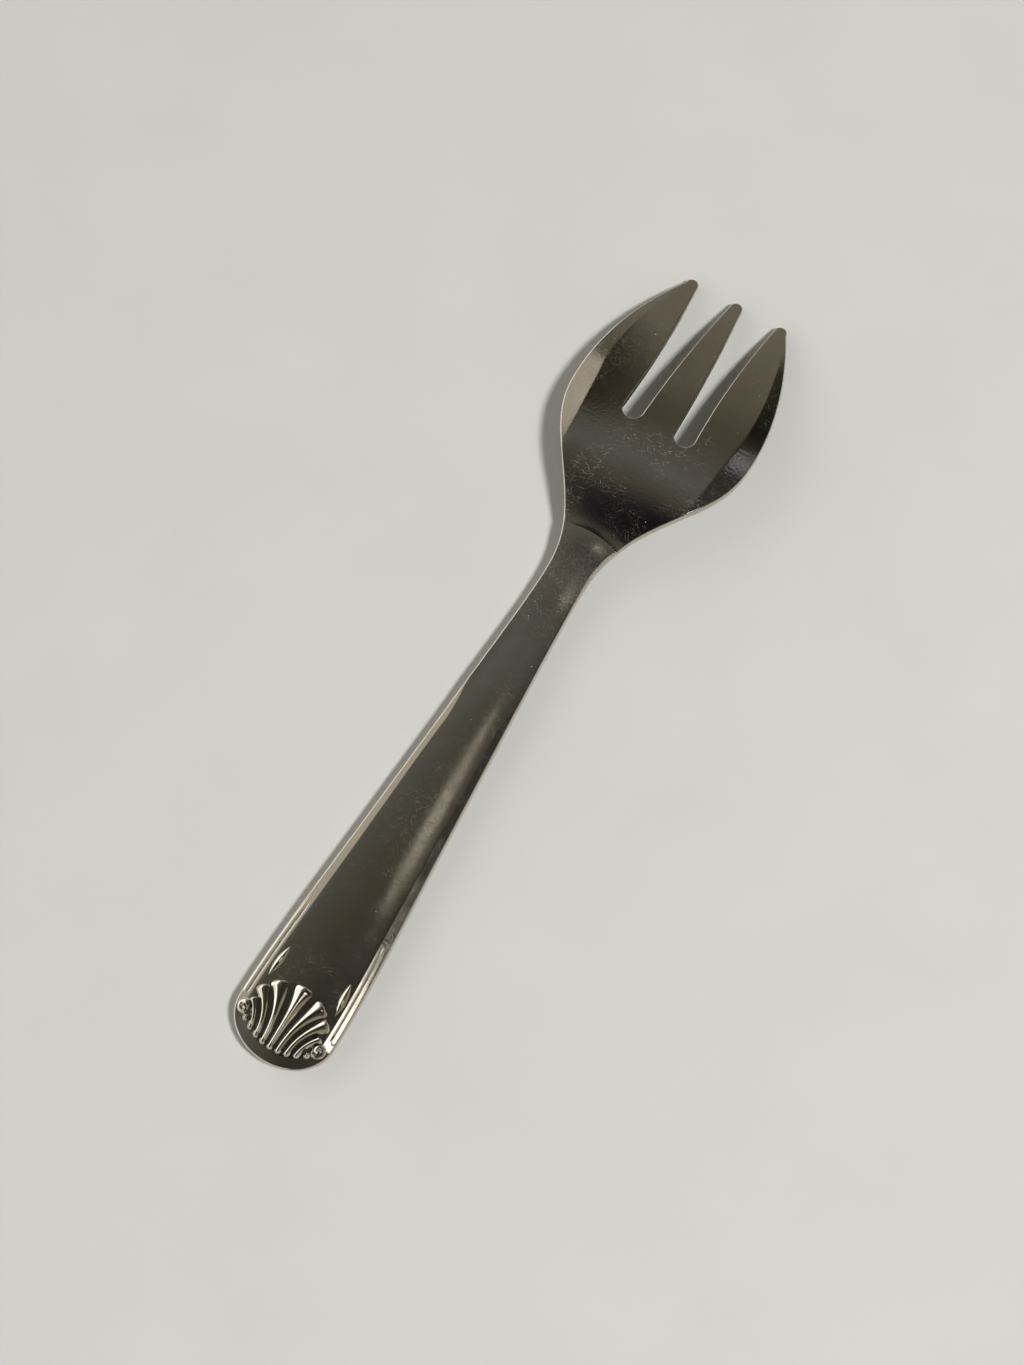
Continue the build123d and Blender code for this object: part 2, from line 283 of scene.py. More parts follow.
backs = {
    "handleCrown": 2.35, "neckCrown": 2.0, "heelCrown": 3.4, "handleDome": 0.3, "neckDome": 0.15,
    "bevelDepth": 0.35, "bevelSlope": 0.375, "creaseSoft": 0.035,
    "bevelThin": 0.16, "bevelThinFrom": 12.0, "bevelThinOver": 30.0,   # the bevel narrows towards the neck
    "bevelFade": 0.3, "bevelFadeFrom": 41.0, "bevelFadeOver": 10.0,    # and runs out on it
    "heelHeight": 3.0, "arch": 5.05, "tipThick": 0.95, "bowlThick": 1.3, "headDome": 0.3, "heelDome": 0.9,
    "flankWidth": 2.45, "tipFlank": 0.3, "flankSlope": math.tan(math.radians(14)), "creaseSlope": 0.095,
    "flankSoft": 0.07, "risePower": 2.2, "fallPower": 1.7,
    "footDip": 0.12, "footWidth": 0.8, "heelRoll": 0.34, "heelRollWidth": 2.6,
    "endLift": 0.35, "liftLength": 12.0,
}


def smoothMin(a, b, soft):
    h = np.clip(0.5 + 0.5 * (b - a) / soft, 0, 1)
    return b + (a - b) * h - soft * h * (1 - h)


def stemCrown(d):
    # height along the middle, and the drop from there to the sides
    p, q = backs, places
    blend = smoothStep((d - q["joint"]) / (q["waist"] - q["joint"]))
    climb = np.clip((d - q["rest"]) / (q["heel"] - q["rest"]), 0, None)
    crown = p["handleCrown"] + (p["neckCrown"] - p["handleCrown"]) * blend
    crown = crown + (p["heelCrown"] - p["neckCrown"]) * climb ** 3
    return crown, p["handleDome"] + (p["neckDome"] - p["handleDome"]) * blend


def stemTop(x, d, inset):
    # the crowned back with a sloping border along its sides
    p, q = backs, places
    crown, dome = stemCrown(d)
    taper = (headPlan["jointHalf"] - handlePlan["endHalf"]) * np.clip(d, 0, None) / q["joint"]
    half = np.where(d < q["joint"], handlePlan["endHalf"] + taper, halfWidth(d))
    depth = p["bevelDepth"] - p["bevelThin"] * smoothStep((d - p["bevelThinFrom"]) / p["bevelThinOver"])
    depth = depth - p["bevelFade"] * smoothStep((d - p["bevelFadeFrom"]) / p["bevelFadeOver"])
    bevel = crown - dome - depth + p["bevelSlope"] * inset
    return smoothMin(crown - dome * (x / half) ** 2, bevel, p["creaseSoft"])


def stemBottom(x, d):
    # flat across: lifted at the handle's end, and bent up towards the heel
    p, q = backs, places
    curl = p["endLift"] * np.clip((p["liftLength"] - d) / p["liftLength"], 0, 1) ** 2
    under = p["heelHeight"] - p["bowlThick"]
    slope = p["risePower"] * (p["arch"] - p["heelHeight"]) / (q["crown"] - q["heel"])
    run = q["heel"] - under / slope - q["rest"]
    bend = 2 * run - (q["heel"] - q["rest"])
    t = (run - np.sqrt(run ** 2 - bend * np.clip(d - q["rest"], 0, q["heel"] - q["rest"]))) / bend
    return curl + under * t ** 2


def headCrown(d):
    p, q = backs, places
    rise = np.clip((q["crown"] - d) / (q["crown"] - q["heel"]), 0, None) ** p["risePower"]
    fall = np.clip((d - q["crown"]) / (q["tip"] - q["crown"]), 0, None) ** p["fallPower"]
    return p["arch"] - (p["arch"] - p["heelHeight"]) * rise - (p["arch"] - p["tipThick"]) * fall


def creasePlace(d):
    p, q = backs, places
    past = (d - q["widest"]) / (q["tip"] - q["widest"])
    before = headPlan["headHalf"] - p["flankWidth"] + p["creaseSlope"] * (d - q["widest"])
    after = halfWidth(d) - p["flankWidth"] + (p["flankWidth"] - p["tipFlank"]) * past
    return np.where(past < 0, before, after)


def headForm(x, d, hollow):
    # drop below the middle line: a dome that turns down into a flank on each side
    p, q = backs, places
    past = np.clip((d - q["crown"]) / (q["tip"] - q["crown"]), 0, 1)
    before = np.clip((q["crown"] - d) / (q["crown"] - q["heel"]), 0, 1)
    dome = p["headDome"] * (1 - past ** 2)
    dome = dome * (1 - before ** 2) if hollow else dome + (p["heelDome"] - p["headDome"]) * before ** 3
    crease = creasePlace(d)
    over = np.abs(x) - crease
    inner = 2 * dome / crease
    soft = p["flankSoft"]
    bent = soft * np.logaddexp(0, over / soft)
    flank = p["flankSlope"] * (1 - past ** 3) - inner
    domed = dome * (np.minimum(np.abs(x), crease) / crease) ** 2
    return domed + inner * np.clip(over, 0, None) + flank * bent


def heelReach(x, d):
    # distance beyond the heel's arc
    return np.hypot(x, d - places["heel"] + headPlan["heelRadius"]) - headPlan["heelRadius"]


def headTop(x, d):
    foot = backs["footDip"] * np.exp(-(heelReach(x, d) / backs["footWidth"]) ** 2)
    return headCrown(d) - headForm(x, d, False) - foot


def headBottom(x, d):
    p, q = backs, places
    thin = np.clip((d - q["root"]) / (q["tip"] - q["root"]), 0, 1)
    thick = p["bowlThick"] + (p["tipThick"] - p["bowlThick"]) * thin
    return headCrown(d) - thick - headForm(x, d, True)


# A pressed plate: rounded edges round a plan of runs, each run an open row of points. Seam runs are where two
# plates of the blank meet, so they stay sharp and flat.

plateForm = {
    "edgeRadius": 0.2, "edgeSteps": 6, "spacing": 0.42, "slopeStep": 0.004, "mergeGap": 1e-6,
    "cornerGap": 0.12,                      # kept between the border and the seams' or features' points
    "borderGap": 0.5, "featureGap": 0.6,    # shares of the spacing, kept between the grid and those points
}


def insetVectors(points, firstSlide, lastSlide):
    # outward normals, and the way each point moves per millimetre of inset
    along = np.diff(points, axis=0)
    along /= lengths(along)[:, None]
    side = columns(along[:, 1], -along[:, 0])
    before, after = np.vstack([side[:1], side]), np.vstack([side, side[-1:]])
    total = before + after
    normals = total / lengths(total)[:, None]
    inset = -total / (1 + (before * after).sum(1))[:, None]
    for index, slide in ((0, firstSlide), (-1, lastSlide)):
        if slide is not None:
            inset[index] = slide / -(normals[index] @ slide)
    return normals, inset


def insideLoop(points, loop):
    x, y = points[:, :1], points[:, 1:]
    a, b = loop, np.roll(loop, -1, axis=0)
    crosses = (a[:, 1] > y) != (b[:, 1] > y)
    rise = np.where(b[:, 1] == a[:, 1], 1e-12, b[:, 1] - a[:, 1])    # never zero
    return ((crosses & (x < a[:, 0] + (y - a[:, 1]) * (b[:, 0] - a[:, 0]) / rise)).sum(1) % 2) == 1


def distanceTo(points, rows):
    # shortest distance from each point to a row of joined points
    a, b = rows[:-1], rows[1:]
    run = b - a
    rel = points[:, None, :] - a[None]
    t = np.clip((rel * run).sum(-1) / (run * run).sum(-1), 0, 1)
    return lengths(rel - t[..., None] * run).min(1)


def slopes(height, x, d):
    step = plateForm["slopeStep"]
    return ((height(x + step, d) - height(x - step, d)) / (2 * step),
            (height(x, d + step) - height(x, d - step)) / (2 * step))


def planOf(runs, deepest):
    # the runs as one loop: points, outward normals, inset ways, seam or not, and each edge run's ends
    plan, normals, inset, isSeam, ends = [], [], [], [], []
    for index, (points, seam) in enumerate(runs):
        if seam:
            if len(points) == 2:
                points = spaced(points[0], points[-1], plateForm["spacing"])
            far = np.minimum(*(lengths(points - points[end]) for end in (0, -1)))
            points = points[far > deepest + plateForm["cornerGap"]]
            outward = way = np.zeros_like(points)
        else:
            slides = []
            neighbours = ((runs[index - 1], -1, -2), (runs[(index + 1) % len(runs)], 0, 1))
            for (other, otherSeam), first, second in neighbours:
                slide = other[second] - other[first]
                slides.append(slide / np.linalg.norm(slide) if otherSeam else None)
            outward, way = insetVectors(points, *slides)
            ends.append((len(isSeam), len(isSeam) + len(points) - 1))
        plan.append(points)
        normals.append(outward)
        inset.append(way)
        isSeam += [seam] * len(points)
    return np.vstack(plan), np.vstack(normals), np.vstack(inset), np.array(isSeam), ends


def innerPoints(border, features):
    # an even grid inside the border, and the rows of points that a crease needs
    step = plateForm["spacing"]
    low, high = border.min(0), border.max(0)
    grid = []
    for row, d in enumerate(np.arange(low[1], high[1], step * math.sqrt(3) / 2)):
        across = np.arange(low[0] + (row % 2) * step / 2, high[0], step)
        grid.append(columns(across, np.full_like(across, d)))
    grid = np.vstack(grid)
    closedBorder = np.vstack([border, border[:1]])
    grid = grid[insideLoop(grid, border)]
    grid = grid[distanceTo(grid, closedBorder) > plateForm["borderGap"] * step]
    if features is not None:
        features = features[insideLoop(features, border)]
        features = features[distanceTo(features, closedBorder) > plateForm["cornerGap"]]
        gap = lengths(grid[:, None] - features[None]).min(1)
        grid = np.vstack([grid[gap > plateForm["featureGap"] * step], features])
    return grid


def plateMesh(name, verts, norms, faces, flat, attributes):
    # only the points in use; a flat face keeps its own normal, and the others have their points' normals
    used = np.unique(np.concatenate([np.array(f) for f in faces]))
    renumber = np.full(len(verts), -1)
    renumber[used] = np.arange(len(used))
    mesh = bpy.data.meshes.new(name)
    mesh.from_pydata([verts[v] for v in used], [], [[int(renumber[v]) for v in f] for f in faces])
    for key, values in attributes.items():
        values = np.asarray(values, np.float32)[used]
        mesh.attributes.new(key, "FLOAT", "POINT").data.foreach_set("value", values)
    norms = np.array(norms)[used]
    norms /= lengths(norms)[:, None]
    mesh.polygons.foreach_set("use_smooth", [True] * len(faces))
    cornerNormals = []
    for poly, isFlat in zip(mesh.polygons, flat):
        cornerNormals += [tuple(poly.normal) if isFlat else tuple(norms[v]) for v in poly.vertices]
    mesh.normals_split_custom_set(cornerNormals)
    return mesh


def makePlate(name, runs, top, bottom, extraRings=(), features=None, shadeMask=None, walls=None):
    # runs: (points, isSeam) in order round the plan, anticlockwise; a seam's ends are the neighbours' ends
    radius = plateForm["edgeRadius"]
    turns = np.linspace(math.pi / 2, 0, plateForm["edgeSteps"])
    rings = [(radius * (1 - math.sin(a)), radius * (1 - math.cos(a)), a) for a in turns]
    rings += [(s, 0.0, 0.0) for s in extraRings]
    count = len(rings)
    deepest = rings[-1][0]
    plan, normals, inset, isSeam, ends = planOf(runs, deepest)
    total = len(plan)
    border = plan + inset * deepest
    grid = innerPoints(border, features)
    inner = [Vector(p) for p in np.vstack([border, grid])]
    _, _, triangles, origin, _, _ = delaunay_2d_cdt(inner, [], [list(range(total))], 1, plateForm["mergeGap"])
    triangles = [[origin[v][0] for v in tri] for tri in triangles]

    # points: the back's rings and inner points, then the underside's
    verts, norms, wear, index, innerIndex = [], [], [], {}, {}
    layers = [(plan + inset * s, normals, np.where(isSeam, 0.0, math.sin(turn)), np.where(isSeam, 0.0, drop))
              for s, drop, turn in rings]
    layers.append((grid, np.zeros_like(grid), np.zeros(len(grid)), 0.0))
    for face, height, up in (("top", top, 1), ("bottom", bottom, -1)):
        index[face] = []
        for at, outward, lean, drop in layers:
            x, d = at.T
            gx, gd = slopes(height, x, d)
            rest = np.sqrt(1 - lean ** 2)
            numbers = len(verts) + np.arange(len(at))
            verts += list(toMetres(x, d, height(x, d) - up * drop))
            aside = lean * outward.T
            norms += list(columns(aside[0] - up * gx * rest, aside[1] - up * gd * rest, up * rest))
            wear += list(lean)
            if at is grid:
                innerIndex[face] = np.concatenate([index[face][-1], numbers])
            else:
                index[face].append(np.where(isSeam, index[face][0], numbers) if index[face] else numbers)
        if face == "top":
            backCount = len(verts)

    # rounded edges, back and underside
    faces = []
    t, b = index["top"], index["bottom"]
    gaps = {(last, first) for first, _ in ends for _, last in ends}
    for i in range(total):
        j = (i + 1) % total
        if isSeam[i] or isSeam[j] or (i, j) in gaps:
            continue
        for k in range(count - 1):
            faces.append((t[k][i], t[k][j], t[k + 1][j], t[k + 1][i]))
            faces.append((b[k][j], b[k][i], b[k + 1][i], b[k + 1][j]))
        faces.append((b[0][i], b[0][j], t[0][j], t[0][i]))
    for tri in triangles:
        faces.append(tuple(innerIndex["top"][v] for v in tri))
        faces.append(tuple(innerIndex["bottom"][v] for v in tri[::-1]))
    flat = [False] * len(faces)

    # flat walls across the seams
    for c, (_, last) in enumerate(ends):
        first = ends[(c + 1) % len(ends)][0]
        between = [i % total for i in range(last + 1, first if first > last else first + total)]
        rows = []
        for ring in (t, b):
            row = [ring[k][last] for k in range(count)] + [ring[0][i] for i in between]
            rows.append(row + [ring[k][first] for k in reversed(range(count))])
        upper, lower = rows
        for k in range(len(upper) - 1):
            faces.append((lower[k], lower[k + 1], upper[k + 1], upper[k]))
            flat.append(True)

    x, d = (np.array(verts) / mm + (0, middle, 0)).T[:2]
    # painted shade: on the back between the ribs or at the heel's foot, and on the slots' walls
    paintedShade = np.zeros(len(verts))
    if shadeMask is not None:
        paintedShade[:backCount] = shadeMask(x[:backCount], d[:backCount])
    if walls is not None:
        paintedShade = np.maximum(paintedShade, walls(x, d, np.array(wear)))
    mesh = plateMesh(name, verts, norms, faces, flat, {"edgeWear": wear, "shadeMask": paintedShade})
    mesh.materials.append(steelMaterial)
    return addObject(name, mesh)


def handOver(piece, node):
    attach(piece, bodyName)
    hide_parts(node)
    print(piece.name, len(piece.data.vertices), "points", len(piece.data.polygons), "faces")


# Handle: rounded end, a sloping border along both sides, and a fine groove inside the threads by the shell

handleForm = {
    "endPoints": 49, "sidePoints": 101,
    "grooveInset": 0.74, "grooveWidth": 0.055, "grooveDepth": 0.05,
    "grooveFrom": 5.2, "grooveStarts": 1.0, "grooveTo": 17.0, "grooveEnds": 3.0,
    "rings": (0.3, 0.42, 0.5, 0.55, 0.6, 0.65, 0.7, 0.74, 0.78, 0.83, 0.87, 0.9, 0.94, 1.0, 1.15),
}
endAngles = np.linspace(math.pi, 2 * math.pi, handleForm["endPoints"])
handleEnd = columns(handlePlan["endHalf"] * np.cos(endAngles), places["end"] * (1 + np.sin(endAngles)))
sideDs = np.linspace(places["end"], places["joint"], handleForm["sidePoints"])[1:]
handleRight = columns(handleHalf(sideDs), sideDs)
handleEdge = np.vstack([mirrorRun(handleRight), handleEnd, handleRight])
handleSeam = np.array([handleRight[-1], handleRight[-1] * (-1, 1)])


def handleTop(x, d):
    g = handleForm
    inset = distanceTo(columns(x, d), handleEdge)
    groove = g["grooveDepth"] * np.exp(-((inset - g["grooveInset"]) / g["grooveWidth"]) ** 2)
    groove *= smoothStep((d - g["grooveFrom"]) / g["grooveStarts"])
    groove *= smoothStep((g["grooveTo"] - d) / g["grooveEnds"])
    return stemTop(x, d, inset) - groove


# where shade is painted on the ground between the shell's ribs, and how dark
shellGround = {"middle": 5.0, "half": (4.75, 4.0), "soft": (0.82, 0.96), "level": 0.5}


def ribShade(x, d):
    # painted shade: darker on the ground between the ribs
    g = shellGround
    out = np.hypot(x / g["half"][0], (d - g["middle"]) / g["half"][1])
    return g["level"] * (1 - smoothStep((out - g["soft"][0]) / (g["soft"][1] - g["soft"][0])))


handle = makePlate("steelHandle", [(handleEdge, False), (handleSeam, True)], handleTop, stemBottom,
                   extraRings=handleForm["rings"], shadeMask=ribShade)
handOver(handle, "handle")

# Neck: from the handle to the heel, where it ends in a rounded step

neckForm = {
    "sidePoints": 61, "heelPoints": 31, "heelTries": 40,
    "bevelTo": 51.0, "bevelStep": 0.3, "bevelInsets": (0.36, 0.48, 0.64),   # points along the bevel's crease
}
heelMiddle = places["heel"] - headPlan["heelRadius"]
heelD = places["heel"]
for _ in range(neckForm["heelTries"]):  # settles on where the heel's arc meets the neck's sides
    heelD = heelMiddle + math.sqrt(headPlan["heelRadius"] ** 2 - float(halfWidth(heelD)) ** 2)
heelX = float(halfWidth(heelD))
neckRight = sideRun(places["joint"], heelD, neckForm["sidePoints"])
heelArc = arcThrough((heelX, heelD), (0, places["heel"]), (-heelX, heelD), neckForm["heelPoints"])
neckSeam = np.array([neckRight[0] * (-1, 1), neckRight[0]])


def neckTop(x, d):
    roll = np.clip(1 + heelReach(x, d) / backs["heelRollWidth"], 0, None) ** 2
    roll = np.where(d > heelMiddle, backs["heelRoll"] * roll, 0.0)
    return stemTop(x, d, halfWidth(d) - np.abs(x)) - roll


bevelDs = np.arange(places["joint"] + neckForm["bevelStep"], neckForm["bevelTo"], neckForm["bevelStep"])
bevelRuns = np.vstack([columns(halfWidth(bevelDs) - inset, bevelDs) for inset in neckForm["bevelInsets"]])
neckRuns = [(neckRight, False), (heelArc, True), (mirrorRun(neckRight), False), (neckSeam, True)]
neck = makePlate("steelNeck", neckRuns, neckTop, stemBottom,
                 features=np.vstack([bevelRuns, bevelRuns * (-1, 1)]))
handOver(neck, "neck")

# Bowl: the arched root of the head, with the foot of the heel and the ends of the slots

bowlForm = {
    "flarePoints": 53, "slotPoints": 25, "creaseFrom": 74.0, "creaseTo": 101.4, "creaseStep": 0.28,
    "creaseRows": (-0.28, -0.16, -0.08, 0.0, 0.08, 0.16, 0.28),
}
rootD = places["root"]
flareRight = sideRun(heelD, rootD, bowlForm["flarePoints"])
slotIn = headPlan["slotMiddle"] - headPlan["slotRadius"]
slotOut = headPlan["slotMiddle"] + headPlan["slotRadius"]
slotEnd = (headPlan["slotMiddle"], rootD - headPlan["slotRadius"])
slotRoot = arcThrough((slotOut, rootD), slotEnd, (slotIn, rootD), bowlForm["slotPoints"])
creaseDs = np.arange(bowlForm["creaseFrom"], bowlForm["creaseTo"], bowlForm["creaseStep"])
creaseLine = np.vstack([columns(creasePlace(creaseDs) + s, creaseDs) for s in bowlForm["creaseRows"]])
bowlRuns = [
    (flareRight, False),
    (np.array([flareRight[-1], slotRoot[0]]), True),
    (slotRoot, False),
    (np.array([slotRoot[-1], slotRoot[-1] * (-1, 1)]), True),
    (mirrorRun(slotRoot), False),
    (np.array([slotRoot[0], flareRight[-1]]) * (-1, 1), True),
    (mirrorRun(flareRight), False),
    (heelArc[::-1], True),
]
# painted shadow at the heel's foot: where it lies, how wide and dark, and the points that carry it
heelShadowForm = {
    "at": 0.25, "wide": 0.55, "leastWide": 0.05, "half": 2.5, "level": 0.9,
    "rows": (0.2, 0.4, 0.6, 0.8, 1.0), "rowHalf": 2.4, "rowPoints": 25,     # points that carry it
}


def heelShadow(x, d):
    # painted shadow: a dark crescent at the heel's foot
    h = heelShadowForm
    across = np.clip(np.cos(math.pi / 2 * np.clip(x / h["half"], -1, 1)), 0, 1)
    wide = h["wide"] * across + h["leastWide"]
    return h["level"] * np.sqrt(across) * np.exp(-(np.clip(heelReach(x, d) - h["at"], 0, None) / wide) ** 2)


# painted shade on the slots' walls: how dark, which walls, and where it fades towards the tips
slotShadeForm = {
    "level": 0.75, "leastTurn": 0.78, "fadeFrom": 93.0, "fadeOver": 8.0, "tineMiddle": 7.9,
    "below": 1.5,       # slot radii below the slots' roots
}


def slotWallShade(x, d, turn):
    # painted shade on the walls that face a slot, not on the outer ones
    g = slotShadeForm
    past = (d - rootD) / (places["tip"] - rootD)
    split = g["tineMiddle"] + (headPlan["outerTip"] - g["tineMiddle"]) * past
    inside = (np.abs(x) < split) & (d > rootD - g["below"] * headPlan["slotRadius"])
    left = 1 - smoothStep((d - g["fadeFrom"]) / g["fadeOver"])
    return g["level"] * inside * left * smoothStep((turn - g["leastTurn"]) / (1 - g["leastTurn"]))


bowlFeatures = [creaseLine, creaseLine * (-1, 1)]
rowXs = np.linspace(-heelShadowForm["rowHalf"], heelShadowForm["rowHalf"], heelShadowForm["rowPoints"])
for beyond in heelShadowForm["rows"]:
    rowDs = heelMiddle + np.sqrt((headPlan["heelRadius"] + beyond) ** 2 - rowXs ** 2)
    bowlFeatures.append(columns(rowXs, rowDs))
bowl = makePlate("steelBowl", bowlRuns, headTop, headBottom, features=np.vstack(bowlFeatures),
                 shadeMask=heelShadow, walls=slotWallShade)
handOver(bowl, "bowl")

# Tines: two outer ones that lean in, and a straight one between the slots

tineForm = {"sidePoints": 49, "tipPoints": 21}
tipR = headPlan["tipRadius"]
outerTip = headPlan["outerTip"]
shoulderD = places["shoulder"]
sideMiddle = (rootD + shoulderD) / 2
outerEdge = sideRun(rootD, shoulderD, tineForm["sidePoints"])
innerMiddle = ((slotOut + outerTip - tipR) / 2 - headPlan["innerBow"], sideMiddle)
innerEdge = arcThrough((outerTip - tipR, shoulderD), innerMiddle, (slotOut, rootD), tineForm["sidePoints"])
tipArc = arcThrough((outerTip + tipR, shoulderD), (outerTip, places["tip"]), (outerTip - tipR, shoulderD),
                    tineForm["tipPoints"])
rightEdge = np.vstack([outerEdge, tipArc[1:-1], innerEdge])
rightSeam = np.array([(slotOut, rootD), outerEdge[0]])
middleMiddle = ((slotIn + tipR) / 2 + headPlan["middleBow"], sideMiddle)
middleSide = arcThrough((slotIn, rootD), middleMiddle, (tipR, shoulderD), tineForm["sidePoints"])
middleTip = arcThrough((tipR, shoulderD), (0, places["tip"]), (-tipR, shoulderD), tineForm["tipPoints"])
middleEdge = np.vstack([middleSide, middleTip[1:-1], mirrorRun(middleSide)])
middleSeam = np.array([(-slotIn, rootD), (slotIn, rootD)])
for name, node, edge, seam, features in (
        ("rightTine", "right_tine", rightEdge, rightSeam, creaseLine),
        ("leftTine", "left_tine", mirrorRun(rightEdge), mirrorRun(rightSeam), creaseLine * (-1, 1)),
        ("middleTine", "middle_tine", middleEdge, middleSeam, None)):
    tine = makePlate(name, [(edge, False), (seam, True)], headTop, headBottom, features=features,
                     walls=slotWallShade)
    handOver(tine, node)
print("stem and head made")


def newTree(name, inputs):
    # a geometry tree with one output, addNode for it, and the sockets of its inputs
    tree = bpy.data.node_groups.new(name, "GeometryNodeTree")
    tree.interface.new_socket("Geometry", in_out="OUTPUT", socket_type="NodeSocketGeometry")
    for key, kind in inputs.items():
        tree.interface.new_socket(key, in_out="INPUT", socket_type="NodeSocket" + kind)
    add = partial(addNode, tree)
    return tree, add, add("NodeGroupInput", out=None).outputs


def runTree(name, tree, mesh, values):
    # a piece with the mesh that the tree gives
    piece = addObject(name, mesh)
    modifier = piece.modifiers.new(name, "NODES")
    modifier.node_group = tree
    for item in tree.interface.items_tree:
        if item.in_out == "INPUT" and item.name in values:
            modifier[item.identifier] = values[item.name]
    bpy.context.view_layer.update()
    shown = piece.evaluated_get(bpy.context.evaluated_depsgraph_get())
    mesh = bpy.data.meshes.new_from_object(shown)
    piece.modifiers.clear()
    piece.data = mesh
    mesh.name = name
    return piece


# Shell: a fan of ribs on the handle's end, each a rounded finger that bends outwards and flares to its top.
# One ball is copied for each rib and every point of it is moved by the same rule.

shellFan = {
    "Ribs": 9, "Foot": 0.34, "Belly": 0.28, "Flare": 0.55, "Lean": 2.3, "Bend": 2.2, "Border": 1.35,
    "Length": 8.9, "Dip": 1.2, "Short": 0.75, "Pitch": 0.96, "Height": 0.27, "Swell": 0.23, "Round": 0.55,
    "Ridge": 1.35, "Sink": 0.25,
}
ballMesh = {"Segments": 24, "Rings": 44, "Radius": 1.0}
seatRay = {"from": 0.02, "length": 0.1}     # metres: its start above the table and its reach down
mathSigns = {
    "+": "ADD", "-": "SUBTRACT", "*": "MULTIPLY", "/": "DIVIDE", "*+": "MULTIPLY_ADD", "^": "POWER",
    "<": "LESS_THAN", ">": "GREATER_THAN", "min": "MINIMUM", "abs": "ABSOLUTE", "sin": "SINE",
    "cos": "COSINE", "root": "SQRT",
}
# each rule is one Math node: a name, and what it is worked out from
ribRule = (
    # which rib, counted from the middle, and its side
    "ribsLess = Ribs - 1", "last = ribsLess / 2", "order = rib - last", "isLeft = order < 0",
    "side = isLeft * -2 + 1", "rank = abs order", "share = rank / last",
    # its foot, lean, length and crest
    "footX = rank * Pitch", "shareSquare = share ^ 2", "footD = shareSquare * Dip + Border",
    "leanShare = share ^ 0.85", "leanTurn = leanShare * pi", "leanSine = sin leanTurn",
    "lean = leanSine * Lean", "longest = Length - Border", "spread = longest - Short",
    "shortening = share ^ 1.5", "cut = spread * shortening", "rise = longest - cut",
    "crestTurn = share * halfPi", "crestCos = cos crestTurn", "crestPower = crestCos ^ 1.5",
    "crestGain = crestPower * Flare", "belly = crestCos * Belly", "slender = Foot + belly",
    "crest = crestGain + slender",
    # its path from foot to top, and the way across it
    "below = 1 - ballZ", "along = below / 2", "bent = along ^ Bend", "pathX = lean * bent + footX",
    "pathD = rise * along + footD", "bendLess = Bend - 1", "steep = along ^ bendLess",
    "steepLean = steep * lean", "wayX = steepLean * Bend", "wayXX = wayX ^ 2", "wayDD = rise ^ 2",
    "waySum = wayXX + wayDD", "way = root waySum", "normalX = rise / way", "normalD = wayX / way",
    # its width, rounded off at the foot and the top
    "flareShare = along ^ 4", "finger = along * belly + Foot", "wide = crestGain * flareShare + finger",
    "fromFoot = along * way", "footShare = fromFoot / Foot", "footIn = footShare min 1",
    "footGap = 1 - footIn", "footGapSq = footGap ^ 2", "footRoundSq = 1 - footGapSq",
    "footRound = root footRoundSq", "toTop = 1 - along", "fromTop = toTop * way",
    "topLength = crest * Round", "topShare = fromTop / topLength", "topIn = topShare min 1",
    "topGap = 1 - topIn", "topGapSq = topGap ^ 2", "topRoundSq = 1 - topGapSq",
    "topRound = root topRoundSq", "round = footRound * topRound", "half = wide * round",
    # the place of the ball's point across the rib
    "ballXX = ballX ^ 2", "ballYY = ballY ^ 2", "ballSum = ballXX + ballYY", "ballWide = root ballSum",
    "cosine = ballX / ballWide", "sine = ballY / ballWide", "lateral = half * cosine",
    "lateralX = lateral * normalX", "lateralD = lateral * normalD", "x = side * pathX + lateralX",
    "sideD = side * lateralD", "d = pathD - sideD",
    # and its height above the handle's back
    "across = abs cosine", "sideFall = across ^ Ridge", "ridge = 1 - sideFall", "isUpper = sine > 0",
    "upper = ridge * isUpper", "lower = sine min 0", "tall = along * Swell + Height",
    "lowerFall = lower * Sink", "risen = upper * tall + lowerFall", "stand = risen * round",
    "standing = stand * mm", "xMetres = x * mm", "dShift = d - middle", "dMetres = dShift * mm",
)


